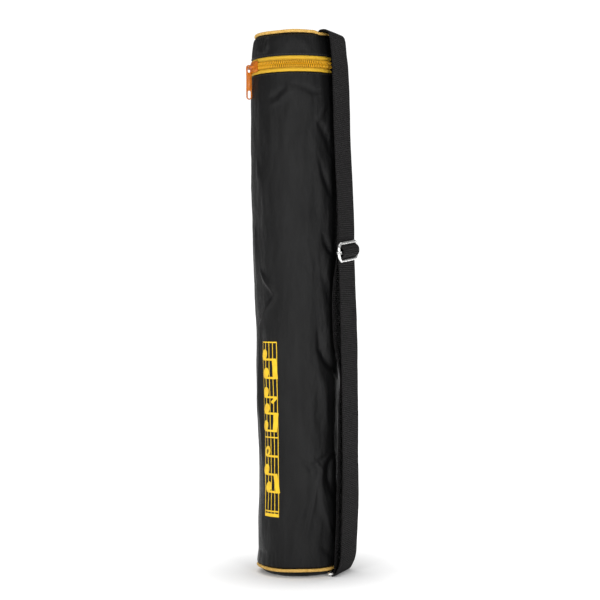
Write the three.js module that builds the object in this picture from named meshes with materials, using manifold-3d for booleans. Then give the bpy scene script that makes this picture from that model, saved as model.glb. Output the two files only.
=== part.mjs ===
// A folding music stand packed in its carry bag.
// The bag is an upright tube of nylon with a zipped lid and a shoulder strap on its +X side.
// Millimetres, +Z up. The origin is on the bag's axis, on the surface it stands on.
// Angles are in degrees, anticlockwise from +X seen from above.

import * as THREE from 'three';
import { mergeVertices } from 'three/addons/utils/BufferGeometryUtils.js';
import Module from 'manifold-3d';

const wasm = await Module();
wasm.setup();

// Driving dimensions of the bag.
const GAP = 0.3;
const ROUND_STEPS = 48;
const FABRIC = 1.0;
const OCTAGON = 1 / Math.cos(Math.PI / 8);
const WALL_BOTTOM_R = 42.6;
const WALL_WAIST_R = 41.6;
const WALL_TOP_R = 44.4;
const PIPING_R = 2.0;
const BASE_SEAM = { r: 42.0, z: 7.4 };
const BASE_PROFILE = [[0, 0], [27, 0], [30, 1.2], [33, 3.0], [36, 4.9], [39.4, 6.4]];
const BASE_SKIN = 1.2;
const BASE_BOARD = { r: 26, z0: 1.6, z1: 3.6 };
const BINDING = { x0: 38.4, x1: 39.9, width: 8, z0: 14, z1: 488 };
const LID_SEAM = { r: 38.3, z: 534.0 };
const LID_DISC = { r: 36, z0: 533.4, z1: 534.6 };
const LID_PROFILE = [[42.4, 509], [42.2, 520], [38.9, 531.7]];

// Zip: the two halves of the chain leave a slot that the slider's neck runs in.
const ZIP_Z = 501.3;
const ZIP_TAPE = { r0: 42.0, r1: 42.6, height: 5.4 };
const ZIP_COIL = { r0: 42.7, r1: 43.8, height: 1.6 };
const ZIP_SLOT = 2.2;
const ZIP_BAND = 14.8;
const HINGE_HALF_ANGLE = 10;

// Slider and pull tab.
const SLIDER_ANGLE = 228;
const SLIDER_HALF_ANGLE = 10;
const SLIDER_HALF_HEIGHT = 4.5;
const SLIDER_SKIN = 0.9;
const BRIDGE = { angle: 220, r: 47.8, wire: 1.6, reach: 5.8 };
const TAB = { length: 34, width: 5.4, thickness: 1.4, eye: 1.5, grip: 1.4, gripTop: 24.5, gripEnd: 28.5 };

// Shoulder strap of 40 mm webbing, and its fittings.
const WEBBING = { width: 40, thickness: 1.2 };
const BUCKLE = { x: 55.1, z: 319, width: 49.4, height: 20, wire: 2.6, tilt: 5 };
const HUMP = { rise: 4.6, foot: 5.6, top: 3.6 };
const RING = { x: 40.7, z: 2.75, width: 45.6, depth: 7.4, wire: 2.4 };

// Folded stand.
const STAND_FLOOR_Z = 4.2;
const LEG = { r: 5, reach: 25, top: 262 };
const FOOT = { r: 6.4, height: 18 };
const LEG_ANGLES = [60, 180, 300];
const MAST = [
  { name: 'mast_lower_tube', r0: 11.3, r1: 12.5, z0: 40, z1: 300 },
  { name: 'mast_middle_tube', r0: 9.2, r1: 10.6, z0: 60, z1: 330 },
  { name: 'mast_upper_tube', r0: 6.8, r1: 8.2, z0: 80, z1: 356 },
];
const COLLARS = [
  { name: 'lower_clutch', r0: 12.9, r1: 17, z0: 284, z1: 312 },
  { name: 'upper_clutch', r0: 11.0, r1: 15, z0: 316, z1: 344 },
  { name: 'leg_hub', r0: 12.9, r1: 18.2, z0: 262, z1: 280 },
  { name: 'brace_hub', r0: 12.9, r1: 18.2, z0: 42, z1: 56 },
  { name: 'desk_hub', r0: 8.6, r1: 12.6, z0: 347, z1: 372 },
];
const BRACE = { r0: 15.6, r1: 18.0, width: 8, z0: 60, z1: 190 };
const DESK_BAR = { thickness: 2.2, width: 10, z0: 226, z1: 478 };
const DESK_BAR_X = [19.4, 22.8, 26.2, 29.6];
const DESK_PIVOT = { z: 466, r: 2 };
const DESK_LEDGE = { x: 21, y: 9.5, z0: 250, z1: 470, r: 1.8 };
const PAGE_CLIP = { x: 28, y: 9.5, z0: 380, z1: 470, r: 1.4 };

// Colours, roughness and metalness.
const FINISH = {
  nylon: { color: 0x2d2d2e, roughness: 0.55, metalness: 0 },
  webbing: { color: 0x242223, roughness: 0.8, metalness: 0 },
  piping: { color: 0xe8b860, roughness: 0.55, metalness: 0 },
  tape: { color: 0xf0bc2c, roughness: 0.8, metalness: 0 },
  coil: { color: 0xf2c038, roughness: 0.4, metalness: 0 },
  orange: { color: 0xdf7a1e, roughness: 0.35, metalness: 0.1 },
  silver: { color: 0xd8d8d8, roughness: 0.2, metalness: 1 },
  board: { color: 0x303030, roughness: 0.6, metalness: 0 },
  tube: { color: 0x1c1c1e, roughness: 0.4, metalness: 0.3 },
  plastic: { color: 0x1a1a1a, roughness: 0.6, metalness: 0 },
  rubber: { color: 0x141414, roughness: 0.9, metalness: 0 },
  steel: { color: 0xa8aaac, roughness: 0.35, metalness: 1 },
};

const group = new THREE.Group();
const radians = THREE.MathUtils.degToRad;

// Turns a closed surface's faces outward.
function outward(geometry) {
  const position = geometry.attributes.position;
  const index = geometry.index.array;
  const [a, b, c] = [new THREE.Vector3(), new THREE.Vector3(), new THREE.Vector3()];
  let volume = 0;
  for (let i = 0; i < index.length; i += 3) {
    a.fromBufferAttribute(position, index[i]);
    b.fromBufferAttribute(position, index[i + 1]);
    c.fromBufferAttribute(position, index[i + 2]);
    volume += a.dot(b.cross(c));
  }
  if (volume < 0) {
    for (let i = 0; i < index.length; i += 3) {
      [index[i], index[i + 1]] = [index[i + 1], index[i]];
    }
  }
  return geometry;
}

// Merges a geometry's shared vertices, so that it is one closed surface.
function closed(geometry) {
  geometry.deleteAttribute('normal');
  geometry.deleteAttribute('uv');
  return outward(mergeVertices(geometry, 1e-4));
}

function toManifold(geometry) {
  const merged = closed(geometry);
  return new wasm.Manifold(new wasm.Mesh({
    numProp: 3,
    vertProperties: new Float32Array(merged.attributes.position.array),
    triVerts: new Uint32Array(merged.index.array),
  }));
}

function fromManifold(solid) {
  const mesh = solid.getMesh();
  const geometry = new THREE.BufferGeometry();
  geometry.setAttribute('position', new THREE.BufferAttribute(mesh.vertProperties, 3));
  geometry.setIndex(new THREE.BufferAttribute(mesh.triVerts, 1));
  return geometry;
}

function join(...geometries) {
  return fromManifold(geometries.map(toManifold).reduce((sum, solid) => sum.add(solid)));
}

function cut(geometry, ...tools) {
  const whole = toManifold(geometry);
  return fromManifold(tools.map(toManifold).reduce((rest, tool) => rest.subtract(tool), whole));
}

function add(name, geometry, finish) {
  const mesh = new THREE.Mesh(closed(geometry), new THREE.MeshStandardMaterial(FINISH[finish]));
  mesh.geometry.computeVertexNormals();
  mesh.name = name;
  group.add(mesh);
  return mesh;
}

// A closed outline of [radius, z] points turned round the Z axis.
function turned(outline, steps = ROUND_STEPS) {
  const points = [...outline, outline[0]].map(([r, z]) => new THREE.Vector2(r, z));
  return new THREE.LatheGeometry(points, steps).rotateX(Math.PI / 2);
}

function ring(r0, r1, z0, z1, steps) {
  return turned([[r0, z0], [r1, z0], [r1, z1], [r0, z1]], steps);
}

function torus(r, z, wire) {
  return new THREE.TorusGeometry(r, wire, 8, ROUND_STEPS).translate(0, 0, z);
}

// A curved bar: part of a ring between two angles.
function sector(r0, r1, z0, z1, from, to) {
  const shape = new THREE.Shape();
  shape.absarc(0, 0, r1, radians(from), radians(to), false);
  shape.absarc(0, 0, r0, radians(to), radians(from), true);
  const curveSegments = Math.max(2, Math.round((to - from) / 14));
  return new THREE.ExtrudeGeometry(shape, { depth: z1 - z0, curveSegments, bevelEnabled: false })
    .translate(0, 0, z0);
}

function rod(x, y, z0, z1, r, steps = 16) {
  return new THREE.CylinderGeometry(r, r, z1 - z0, steps)
    .rotateX(Math.PI / 2)
    .translate(x, y, (z0 + z1) / 2);
}

function block(x0, x1, y0, y1, z0, z1) {
  return new THREE.BoxGeometry(x1 - x0, y1 - y0, z1 - z0)
    .translate((x0 + x1) / 2, (y0 + y1) / 2, (z0 + z1) / 2);
}

// A flat band of webbing whose middle line is a list of Vector2(x, z).
function band(line, width, thickness) {
  const side = (sign) => line.map((point, i) => {
    const before = line[Math.max(i - 1, 0)];
    const after = line[Math.min(i + 1, line.length - 1)];
    const along = after.clone().sub(before).normalize();
    const across = new THREE.Vector2(-along.y, along.x);
    return point.clone().addScaledVector(across, sign * thickness / 2);
  });
  const shape = new THREE.Shape([...side(1), ...side(-1).reverse()]);
  return new THREE.ExtrudeGeometry(shape, { depth: width, bevelEnabled: false })
    .rotateX(Math.PI / 2)
    .translate(0, width / 2, 0);
}

function smooth(points, steps) {
  return new THREE.SplineCurve(points.map(([x, z]) => new THREE.Vector2(x, z))).getPoints(steps);
}

// A flat rectangular loop of wire, eight-sided in section, lying in the local XY plane.
function wireLoop(width, height, wire, corner) {
  const bevel = wire * (1 - Math.SQRT1_2);
  const outline = (w, h, c, path) => {
    path.absarc(w / 2 - c, h / 2 - c, c, 0, Math.PI / 2, false);
    path.absarc(c - w / 2, h / 2 - c, c, Math.PI / 2, Math.PI, false);
    path.absarc(c - w / 2, c - h / 2, c, Math.PI, 1.5 * Math.PI, false);
    path.absarc(w / 2 - c, c - h / 2, c, 1.5 * Math.PI, 2 * Math.PI, false);
    return path;
  };
  const inset = 2 * (wire - bevel);
  const shape = outline(width - 2 * bevel, height - 2 * bevel, corner - bevel, new THREE.Shape());
  const hole = outline(width - inset, height - inset, corner - wire + bevel, new THREE.Path());
  shape.holes.push(hole);
  return new THREE.ExtrudeGeometry(shape, {
    depth: wire - 2 * bevel,
    curveSegments: 3,
    bevelThickness: bevel,
    bevelSize: bevel,
    bevelSegments: 1,
  }).translate(0, 0, bevel - wire / 2);
}

// A thin disc that fills a whole circle.
function disc({ r, z0, z1 }) {
  return turned([[0, z0], [r, z0], [r, z1], [0, z1]]);
}

// A turned wall of fabric under an outer profile that runs upward.
function fabricWall(outer) {
  const inner = [...outer].reverse().map(([r, z]) => [r - FABRIC, z]);
  return turned([...outer, ...inner]);
}

// The nylon tube, its rounded base and the stiffening board in it.
function bagShell() {
  const inside = [...BASE_PROFILE].reverse().map(([r, z]) => [r === 0 ? 0 : r - 0.5, z + BASE_SKIN]);
  add('base_disc', turned([...BASE_PROFILE, ...inside]), 'nylon');
  add('base_board', disc(BASE_BOARD), 'board');
  add('base_piping', torus(BASE_SEAM.r, BASE_SEAM.z, PIPING_R), 'piping');
  const top = ZIP_Z - ZIP_BAND / 2 - GAP;
  const outer = smooth([
    [WALL_BOTTOM_R, BASE_SEAM.z + PIPING_R + GAP],
    [WALL_WAIST_R, 90],
    [WALL_WAIST_R, 200],
    [WALL_TOP_R, 400],
    [WALL_TOP_R - 0.4, top],
  ], 8).map((point) => [point.x, point.y]);
  add('body_panel', fabricWall(outer), 'nylon');
  const { x0, x1, width, z0, z1 } = BINDING;
  add('seam_binding', block(x0, x1, -width / 2, width / 2, z0, z1), 'webbing');
}

// The zip: a tape and half of the chain on each side, and the fabric hinge that has no zip.
function zip() {
  const from = HINGE_HALF_ANGLE + 0.5;
  const to = 360 - from;
  const low = ZIP_Z - ZIP_BAND / 2;
  const high = ZIP_Z + ZIP_BAND / 2;
  const { r0, r1, height } = ZIP_TAPE;
  add('lower_zip_tape', sector(r0, r1, low, low + height, from, to), 'tape');
  add('upper_zip_tape', sector(r0, r1, high - height, high, from, to), 'tape');
  const slot = ZIP_SLOT / 2;
  const coil = (z) => sector(ZIP_COIL.r0, ZIP_COIL.r1, z, z + ZIP_COIL.height, from, to);
  add('lower_zip_coil', coil(ZIP_Z - slot - ZIP_COIL.height), 'coil');
  add('upper_zip_coil', coil(ZIP_Z + slot), 'coil');
  add('hinge_strip', sector(r0, r1, low, high, -HINGE_HALF_ANGLE, HINGE_HALF_ANGLE), 'nylon');
}

// The lid above the zip.
function lid() {
  add('lid_wall', fabricWall(LID_PROFILE), 'nylon');
  add('lid_piping', torus(LID_SEAM.r, LID_SEAM.z, PIPING_R), 'piping');
  add('lid_disc', disc(LID_DISC), 'nylon');
}

// The slider: an outer and an inner plate, the neck between them and the bridge for the tab.
function slider() {
  const plate = (r0, r1) => sector(
    r0, r1, ZIP_Z - SLIDER_HALF_HEIGHT, ZIP_Z + SLIDER_HALF_HEIGHT,
    SLIDER_ANGLE - SLIDER_HALF_ANGLE, SLIDER_ANGLE + SLIDER_HALF_ANGLE,
  );
  const outerR = ZIP_COIL.r1 + 0.2;
  const innerR = ZIP_TAPE.r0 - 0.4;
  const neck = sector(
    innerR - 0.2, outerR + 0.2, ZIP_Z - 0.8, ZIP_Z + 0.8,
    SLIDER_ANGLE - 3, SLIDER_ANGLE + 3,
  );
  const tongue = sector(
    outerR, outerR + SLIDER_SKIN, ZIP_Z - 1.2, ZIP_Z + 1.2,
    BRIDGE.angle - 8.5, SLIDER_ANGLE - SLIDER_HALF_ANGLE + 1,
  );
  const half = BRIDGE.wire / 2;
  const post = (y) => block(outerR + 0.3, BRIDGE.r + half, y - half, y + half, -half, half);
  const arch = [
    block(BRIDGE.r - half, BRIDGE.r + half, -BRIDGE.reach, BRIDGE.reach, -half, half),
    post(BRIDGE.reach),
    post(-BRIDGE.reach),
  ].map((piece) => piece.rotateZ(radians(BRIDGE.angle)).translate(0, 0, ZIP_Z));
  const parts = [plate(outerR, outerR + SLIDER_SKIN), plate(innerR - SLIDER_SKIN, innerR), neck, tongue];
  add('zip_slider', join(...parts, ...arch), 'orange');
}

// The pull tab hangs on the bridge, edge on to the bag.
function pullTab() {
  const half = TAB.width / 2;
  const shape = new THREE.Shape();
  shape.absarc(0, 0, half, 0, Math.PI, false);
  shape.absarc(0, 2 * half - TAB.length, half, Math.PI, 2 * Math.PI, false);
  const eye = new THREE.Path();
  eye.absarc(0, 0, TAB.eye, 0, 2 * Math.PI, false);
  const grip = new THREE.Path();
  grip.absarc(0, -TAB.gripTop, TAB.grip, 0, Math.PI, false);
  grip.absarc(0, -TAB.gripEnd, TAB.grip, Math.PI, 2 * Math.PI, false);
  shape.holes.push(eye, grip);
  const extrusion = { depth: TAB.thickness, curveSegments: 5, bevelEnabled: false };
  const tab = new THREE.ExtrudeGeometry(shape, extrusion)
    .translate(0, 0, -TAB.thickness / 2)
    .rotateX(Math.PI / 2)
    .translate(BRIDGE.r, 0, ZIP_Z)
    .rotateZ(radians(BRIDGE.angle));
  add('pull_tab', tab, 'orange');
}

// The strap comes down from the lid's rim, through the buckle, round the ring and back up.
function strap() {
  const { width, thickness } = WEBBING;
  add('strap_top_end', band(smooth([
    [45.9, ZIP_Z + 0.3], [45.6, 518], [44.6, 530], [42.8, 535.6], [39.6, 536.9], [31, 536.9],
  ], 16), width, thickness), 'webbing');
  const face = BUCKLE.x - BUCKLE.wire / 2 - 0.6 - thickness / 2;
  const crown = face + HUMP.rise;
  const upper = smooth([[45.9, ZIP_Z - 0.3], [49.4, 434], [51.6, 372], [face, BUCKLE.z + 14]], 12);
  const lower = smooth([
    [face, BUCKLE.z - 14], [53.6, 275], [54.9, 177], [56.4, 99], [52.4, 44], [48.6, 19], [46.5, 8],
  ], 22);
  const hump = [
    [face, HUMP.foot], [crown - 0.3, HUMP.top], [crown, 0], [crown - 0.3, -HUMP.top], [face, -HUMP.foot],
  ].map(([x, dz]) => new THREE.Vector2(x, BUCKLE.z + dz));
  const outerBar = RING.x + (RING.depth - RING.wire) / 2;
  const turn = RING.wire / 2 * OCTAGON + 0.15 + thickness / 2;
  const loop = [0, 45, 90, 135, 180].map((angle) => new THREE.Vector2(
    outerBar + turn * Math.cos(radians(angle)),
    RING.z - turn * Math.sin(radians(angle)),
  ));
  add('strap_outer', band([...upper, ...hump, ...lower, ...loop], width, thickness), 'webbing');
  add('strap_return', band(smooth([
    [44.8, 10], [45.6, 20], [47.3, 44], [48.3, 94], [47.3, 177], [47.8, 284], [49.6, 308], [51.4, 316],
  ], 24), width, thickness), 'webbing');
}

// The buckle: a wire frame, and a centre bar whose ends are eyes round the frame's sides.
function buckle() {
  const place = (geometry) => geometry
    .rotateX(radians(BUCKLE.tilt))
    .translate(BUCKLE.x, 0, BUCKLE.z);
  const frame = wireLoop(BUCKLE.width, BUCKLE.height, BUCKLE.wire, 5)
    .rotateX(Math.PI / 2)
    .rotateZ(Math.PI / 2);
  add('buckle_frame', place(frame), 'silver');
  const side = (BUCKLE.width - BUCKLE.wire) / 2;
  const eye = (y) => ring(2.2, 3.1, -1.4, 1.4, 16).translate(0, y, 0);
  const bar = new THREE.CylinderGeometry(BUCKLE.wire / 2, BUCKLE.wire / 2, 2 * (side - 2.6), 12);
  add('buckle_centre_bar', place(join(bar, eye(side), eye(-side))), 'silver');
}

// The ring at the strap's foot, and the tab that sews it to the base seam.
function footRing() {
  add('lower_ring', wireLoop(RING.depth, RING.width, RING.wire, 3).translate(RING.x, 0, RING.z), 'silver');
  const innerBar = RING.x - (RING.depth - RING.wire) / 2;
  const tab = ring(RING.wire / 2 * OCTAGON + 0.15, 2.3, -15, 15, 16)
    .rotateX(Math.PI / 2)
    .translate(innerBar, 0, RING.z);
  add('ring_tab', tab, 'webbing');
}

// The stand's three telescoping tubes, the collars on them and the plug at the foot.
function mast() {
  for (const tube of MAST) {
    add(tube.name, ring(tube.r0, tube.r1, tube.z0, tube.z1, 20), 'tube');
  }
  for (const collar of COLLARS) {
    add(collar.name, ring(collar.r0, collar.r1, collar.z0, collar.z1, 20), 'plastic');
  }
  add('mast_foot_plug', rod(0, 0, 28, MAST[0].z0 - GAP, MAST[0].r1, 20), 'rubber');
}

// Legs, braces and feet, folded along the mast.
function tripod() {
  LEG_ANGLES.forEach((angle, i) => {
    const turn = radians(angle);
    const number = i + 1;
    const footTop = STAND_FLOOR_Z + FOOT.height;
    add(`leg_${number}`, rod(LEG.reach, 0, footTop + GAP, LEG.top, LEG.r).rotateZ(turn), 'tube');
    add(`foot_${number}`, rod(LEG.reach, 0, STAND_FLOOR_Z, footTop, FOOT.r).rotateZ(turn), 'rubber');
    const half = BRACE.width / 2;
    const brace = block(BRACE.r0, BRACE.r1, -half, half, BRACE.z0, BRACE.z1);
    add(`brace_${number}`, brace.rotateZ(turn), 'steel');
  });
}

// The desk: a spine on the mast, and four arms, two ledge wires and two page clips folded down.
function desk() {
  const pin = (r, x0, x1) => rod(0, 0, x0, x1, r, 12)
    .rotateY(Math.PI / 2)
    .translate(0, 0, DESK_PIVOT.z);
  const bore = () => pin(DESK_PIVOT.r + GAP, -10, 40);
  const half = DESK_BAR.width / 2;
  add('desk_spine', cut(block(-2, 2, -11, 11, COLLARS[4].z1 + GAP, DESK_BAR.z1), bore()), 'tube');
  DESK_BAR_X.forEach((x, i) => {
    const bar = block(x, x + DESK_BAR.thickness, -half, half, DESK_BAR.z0, DESK_BAR.z1);
    add(`desk_arm_${i + 1}`, cut(bar, bore()), 'tube');
  });
  const bolt = join(pin(DESK_PIVOT.r, -3, 34), pin(4, 32.4, 34.4));
  add('desk_pivot_bolt', bolt, 'steel');
  const nut = cut(pin(4, -6.4, -2.4), pin(DESK_PIVOT.r + GAP, -10, 0));
  add('desk_wing_nut', nut, 'plastic');
  const wire = ({ x, y, z0, z1, r }, side) => rod(x, side * y, z0, z1, r, 10);
  add('desk_ledge_left', wire(DESK_LEDGE, -1), 'tube');
  add('desk_ledge_right', wire(DESK_LEDGE, 1), 'tube');
  add('page_clip_left', wire(PAGE_CLIP, -1), 'steel');
  add('page_clip_right', wire(PAGE_CLIP, 1), 'steel');
}

bagShell();
zip();
lid();
slider();
pullTab();
strap();
buckle();
footRing();
mast();
tripod();
desk();

export default group;
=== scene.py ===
"""Looks of a folding music stand's carry bag: nylon tube, zipped lid, shoulder strap and the stand in it.

Lengths are in millimetres inside the script and become metres in a mesh. Angles are in degrees,
anticlockwise from +X seen from above. The shoulder strap is on the +X side.
"""

from math import cos, degrees, dist, pi, radians, sin

import bmesh
import bpy
import numpy as np
from mathutils import Matrix, Vector, noise


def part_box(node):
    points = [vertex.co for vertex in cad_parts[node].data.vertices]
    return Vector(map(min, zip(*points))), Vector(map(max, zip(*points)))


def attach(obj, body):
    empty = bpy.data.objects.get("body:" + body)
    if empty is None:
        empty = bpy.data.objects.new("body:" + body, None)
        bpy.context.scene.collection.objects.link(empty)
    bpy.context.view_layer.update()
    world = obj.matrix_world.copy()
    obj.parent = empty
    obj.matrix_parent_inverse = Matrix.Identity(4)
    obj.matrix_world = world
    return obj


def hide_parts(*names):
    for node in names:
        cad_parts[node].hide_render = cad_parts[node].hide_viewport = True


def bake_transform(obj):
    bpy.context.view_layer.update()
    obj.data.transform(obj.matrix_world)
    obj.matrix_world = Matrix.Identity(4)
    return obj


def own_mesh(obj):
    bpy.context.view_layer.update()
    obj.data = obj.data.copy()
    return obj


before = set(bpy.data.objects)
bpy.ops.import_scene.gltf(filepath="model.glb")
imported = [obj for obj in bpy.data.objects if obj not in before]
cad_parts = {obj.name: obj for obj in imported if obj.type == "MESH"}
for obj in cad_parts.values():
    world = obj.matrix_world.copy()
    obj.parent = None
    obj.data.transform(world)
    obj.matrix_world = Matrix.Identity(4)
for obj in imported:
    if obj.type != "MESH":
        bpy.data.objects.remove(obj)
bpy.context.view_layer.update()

MM = 0.001


def cad(node):
    """A CAD node's box in millimetres, as two vectors."""
    low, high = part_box(node)
    return low / MM, high / MM


# Places taken from the frame.
WALL_LOW = cad("body_panel")[0].z
WALL_HIGH = cad("body_panel")[1].z
LID_LOW = cad("lid_wall")[0].z
LID_HIGH = cad("lid_wall")[1].z
TAPE_LOW = cad("lower_zip_tape")[0].z
TAPE_HIGH = cad("upper_zip_tape")[1].z
ZIP_Z = (TAPE_LOW + TAPE_HIGH) / 2
BASE_SEAM_Z = sum(corner.z for corner in cad("base_piping")) / 2
LID_SEAM_Z = sum(corner.z for corner in cad("lid_piping")) / 2 - 0.6
PIPING_R = (cad("base_piping")[1].z - cad("base_piping")[0].z) / 2
BASE_SEAM_R = cad("base_piping")[1].x - PIPING_R
LID_SEAM_R = cad("lid_piping")[1].x - PIPING_R
PIPING_LOOK = 1.6
PIPING_PRESSED = 1.3
BUCKLE = (cad("buckle_frame")[0] + cad("buckle_frame")[1]) / 2
RING_LOW, RING_HIGH = cad("lower_ring")
STRAP_HALF = cad("strap_outer")[1].y + 1.7

# The camera's side of the object and its place, and the height that the lamps point at.
CAMERA_ANGLE = -67
LAMP_AIM = 270
CAMERA = {"distance": 1502, "height": 295, "aim": 271, "side": 2.65, "roll": 0.64, "lens": 90.1}

# Zip.
TAPE_HALF_ANGLE = 10.5
TOOTH_PITCH = 1.9
SLIDER_ANGLE = 228
TAB_ANGLE = 220
TAB_R = 47.4

# Cloth. WALL_R is the wall's usual radius, which turns angles into lengths round the bag.
WALL_R = 43
CLOTH_THICK = 0.6

# Webbing.
WEBBING_THICK = 1.2
RIB_PITCH = 1.9
BUCKLE_TILT = 5
BUCKLE_HALF = 25.1


# ---- meshes


def unit(angle):
    """Horizontal unit vectors at angles in degrees, as an array with z 0."""
    turn = np.radians(angle)
    return np.stack([np.cos(turn), np.sin(turn), np.zeros_like(turn)], axis=-1)


def turned(radius, angles, heights):
    """Points of a surface round the bag's axis, as [row, column, xyz]."""
    points = radius[..., None] * unit(angles)
    points[..., 2] = heights
    return points


def hermite(at, points):
    """A smooth curve through (place, value) points with no overshoot, read at an array of places."""
    x, y = np.array(points, float).T
    secant = np.diff(y) / np.diff(x)
    slope = np.zeros(len(x))
    same = secant[:-1] * secant[1:] > 0
    slope[1:-1][same] = 2 * secant[:-1][same] * secant[1:][same] / (secant[:-1] + secant[1:])[same]
    i = np.clip(np.searchsorted(x, at) - 1, 0, len(x) - 2)
    width = x[i + 1] - x[i]
    t = np.clip((at - x[i]) / width, 0, 1)
    start = (1 + 2 * t) * (1 - t) ** 2 * y[i] + t * (1 - t) ** 2 * width * slope[i]
    return start + t * t * (3 - 2 * t) * y[i + 1] + t * t * (t - 1) * width * slope[i + 1]


def linked(name, data):
    piece = bpy.data.objects.new(name, data)
    bpy.context.scene.collection.objects.link(piece)
    return piece


def axes_at(turn):
    """The outward and the sideways direction at an angle in radians."""
    out = np.array([cos(turn), sin(turn), 0])
    return out, np.array([-out[1], out[0], 0])


def new_object(name, verts, faces, material, smooth=True):
    mesh = bpy.data.meshes.new(name)
    mesh.from_pydata([tuple(v) for v in np.asarray(verts, float) * MM], [], faces)
    mesh.validate()
    for polygon in mesh.polygons:
        polygon.use_smooth = smooth
    mesh.materials.append(material)
    return linked(name, mesh)


def grid_faces(rows, cols, wrap_cols, wrap_rows=False):
    faces = []
    for r in range(rows if wrap_rows else rows - 1):
        for c in range(cols if wrap_cols else cols - 1):
            right = (c + 1) % cols
            up = (r + 1) % rows
            faces.append((r * cols + c, r * cols + right, up * cols + right, up * cols + c))
    return faces


def capped_faces(rows, cols):
    """The faces of a closed tube of rings, with its two ends."""
    faces = grid_faces(rows, cols, True)
    faces.append(tuple(reversed(range(cols))))
    faces.append(tuple((rows - 1) * cols + i for i in range(cols)))
    return faces


def grid(name, points, material, wrap_cols=False, wrap_rows=False):
    """A surface from an array of points [row, column, xyz]. Faces look along column step x row step."""
    rows, cols, _ = points.shape
    return new_object(name, points.reshape(-1, 3), grid_faces(rows, cols, wrap_cols, wrap_rows), material)


def tube(path, radius, sides=16, closed=False):
    """Verts and faces of a round tube along a list of points. radius is one number or one per point."""
    path = np.asarray(path, float)
    count = len(path)
    radius = np.broadcast_to(radius, count)
    if closed:
        along = np.roll(path, -1, axis=0) - np.roll(path, 1, axis=0)
    else:
        along = np.gradient(path, axis=0)
    along /= np.linalg.norm(along, axis=1)[:, None]
    normal = np.cross(along[0], [0.31, 0.17, 0.93])
    rings = []
    for i in range(count):
        normal = normal - along[i] * (normal @ along[i])
        normal /= np.linalg.norm(normal)
        other = np.cross(along[i], normal)
        turn = np.linspace(0, 2 * pi, sides, endpoint=False)
        rings.append(path[i] + radius[i] * (np.outer(np.cos(turn), normal) + np.outer(np.sin(turn), other)))
    faces = grid_faces(count, sides, True, True) if closed else capped_faces(count, sides)
    return np.concatenate(rings), faces


def joined(name, parts, material):
    """One object from several (verts, faces)."""
    verts, faces, offset = [], [], 0
    for part_verts, part_faces in parts:
        verts.append(np.asarray(part_verts, float))
        faces += [tuple(i + offset for i in face) for face in part_faces]
        offset += len(part_verts)
    return new_object(name, np.concatenate(verts), faces, material)


def thicken(piece, thickness, offset=-1):
    modifier = piece.modifiers.new("thickness", "SOLIDIFY")
    modifier.thickness = thickness * MM
    modifier.offset = offset
    return piece


def soften(piece, width, angle=35):
    modifier = piece.modifiers.new("edges", "BEVEL")
    modifier.width = width * MM
    modifier.segments = 3
    modifier.limit_method = "ANGLE"
    modifier.angle_limit = radians(angle)
    return piece


def settle(piece, body, slot, *nodes):
    """Rides a finished piece on its body and hides the CAD nodes it stands for. slot is not used."""
    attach(piece, body)
    if nodes:
        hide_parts(*nodes)
    return piece


# ---- materials


class Nodes:
    """A material's node tree, with short calls for what the materials below share."""

    def __init__(self, name, color, roughness, metallic=0.0, specular=0.5):
        self.material = bpy.data.materials.new(name)
        self.material.use_nodes = True
        self.tree = self.material.node_tree
        self.shader = self.tree.nodes["Principled BSDF"]
        self.set("Base Color", (*color, 1))
        self.set("Roughness", roughness)
        self.set("Metallic", metallic)
        self.set("Specular IOR Level", specular)
        self.place = self.tree.nodes.new("ShaderNodeTexCoord").outputs["Object"]
        self.normal = None

    def set(self, socket, value):
        self.shader.inputs[socket].default_value = value

    def add(self, kind, **settings):
        node = self.tree.nodes.new("ShaderNode" + kind)
        for key, value in settings.items():
            if key in node.inputs:
                node.inputs[key].default_value = value
            else:
                setattr(node, key, value)
        return node

    def link(self, output, socket):
        self.tree.links.new(output, socket)

    def mapped(self, scale):
        node = self.add("Mapping")
        node.inputs["Scale"].default_value = scale
        self.link(self.place, node.inputs["Vector"])
        return node.outputs["Vector"]

    def noise(self, scale, detail=4, stretch=(1, 1, 1), roughness=0.5):
        node = self.add("TexNoise", Scale=scale, Detail=detail, Roughness=roughness)
        self.link(self.mapped(stretch), node.inputs["Vector"])
        return node.outputs["Fac"]

    def bump(self, height, distance, strength=1.0):
        node = self.add("Bump", Strength=strength, Distance=distance * MM)
        self.link(height, node.inputs["Height"])
        if self.normal is not None:
            self.link(self.normal, node.inputs["Normal"])
        self.normal = node.outputs["Normal"]
        self.link(self.normal, self.shader.inputs["Normal"])

    def ramp(self, value, low, high, socket="Base Color", start=0.3, end=0.7):
        """Colour or number between low and high, as value goes from start to end."""
        if isinstance(low, tuple):
            node = self.add("ValToRGB")
            for stop, position, color in zip(node.color_ramp.elements, (start, end), (low, high)):
                stop.position = position
                stop.color = (*color, 1)
            self.link(value, node.inputs["Fac"])
            self.link(node.outputs["Color"], self.shader.inputs[socket])
        else:
            limits = {"From Min": start, "From Max": end, "To Min": low, "To Max": high}
            node = self.add("MapRange", **limits)
            self.link(value, node.inputs["Value"])
            self.link(node.outputs["Result"], self.shader.inputs[socket])

    def xyz(self, vector):
        node = self.add("SeparateXYZ")
        self.link(vector, node.inputs["Vector"])
        return node.outputs

    def math(self, kind, a, b):
        node = self.add("Math", operation=kind)
        for socket, value in zip(node.inputs, (a, b)):
            if isinstance(value, (int, float)):
                socket.default_value = value
            else:
                self.link(value, socket)
        return node.outputs["Value"]


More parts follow.
